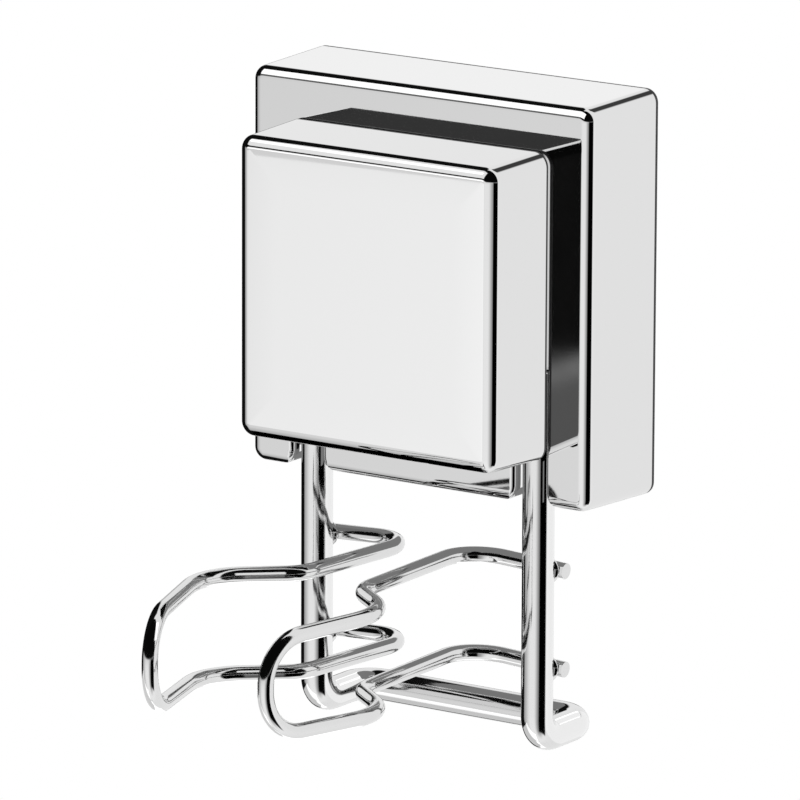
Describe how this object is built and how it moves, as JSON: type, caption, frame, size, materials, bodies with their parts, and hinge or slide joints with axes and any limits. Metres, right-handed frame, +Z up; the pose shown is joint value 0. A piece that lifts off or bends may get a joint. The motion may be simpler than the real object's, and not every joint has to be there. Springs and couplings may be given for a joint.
{
  "type": "shower head holder",
  "caption": "Wall holder for a hand shower: square suction housing with a turning square lock cover, and a hanging bent-wire frame whose hairpin fork cradles the handset.",
  "frame": {"origin": "centre of the suction cup on the wall plane, on the stem axis", "axes": "+Y into the wall along the stem axis, +X to the right seen from the front, +Z up"},
  "size_m": [0.077, 0.092, 0.1249],
  "materials": {
    "chrome_shell": "mirror chrome on moulded plastic",
    "chrome_wire": "mirror chrome on steel wire",
    "steel": "zinc-plated or plain steel",
    "dark_plastic": "fine matt moulding",
    "pale_plastic": "fine matt moulding",
    "clear_pvc": "soft clear PVC"
  },
  "bodies": {
    "base": {"rear_housing": "chrome_shell", "back_frame": "pale_plastic", "suction_cup": "clear_pvc", "thrust_washer": "pale_plastic", "return_spring": "steel", "support_frame": "chrome_wire", "hanger_strap": "steel", "left_fork_wire": "chrome_wire", "right_fork_wire": "chrome_wire", "back_screw_1": "steel", "back_screw_2": "steel", "back_screw_3": "steel", "back_screw_4": "steel", "strap_screw_1": "steel", "strap_screw_2": "steel"},
    "knob": {"front_cover": "chrome_shell", "knob_base": "dark_plastic", "knob_screw_1": "steel", "knob_screw_2": "steel", "knob_screw_3": "steel", "knob_screw_4": "steel"},
    "plunger": {"pull_stem": "steel", "cross_pin": "steel"}
  },
  "joints": [
    {"name": "knob_turn", "type": "hinge", "parent": "base", "child": "knob", "pos_m": [0, 0, 0], "axis": [0, -1, 0], "range_deg": [0, 90]},
    {"name": "stem_pull", "type": "slide", "parent": "base", "child": "plunger", "axis": [0, 1, 0], "range_m": [0, 0.003], "deforming": ["suction_cup", "return_spring"]}
  ],
  "couplings": [
    {"joint": "stem_pull", "follows": "knob_turn", "m_per_rad": 0.0019098}
  ]
}
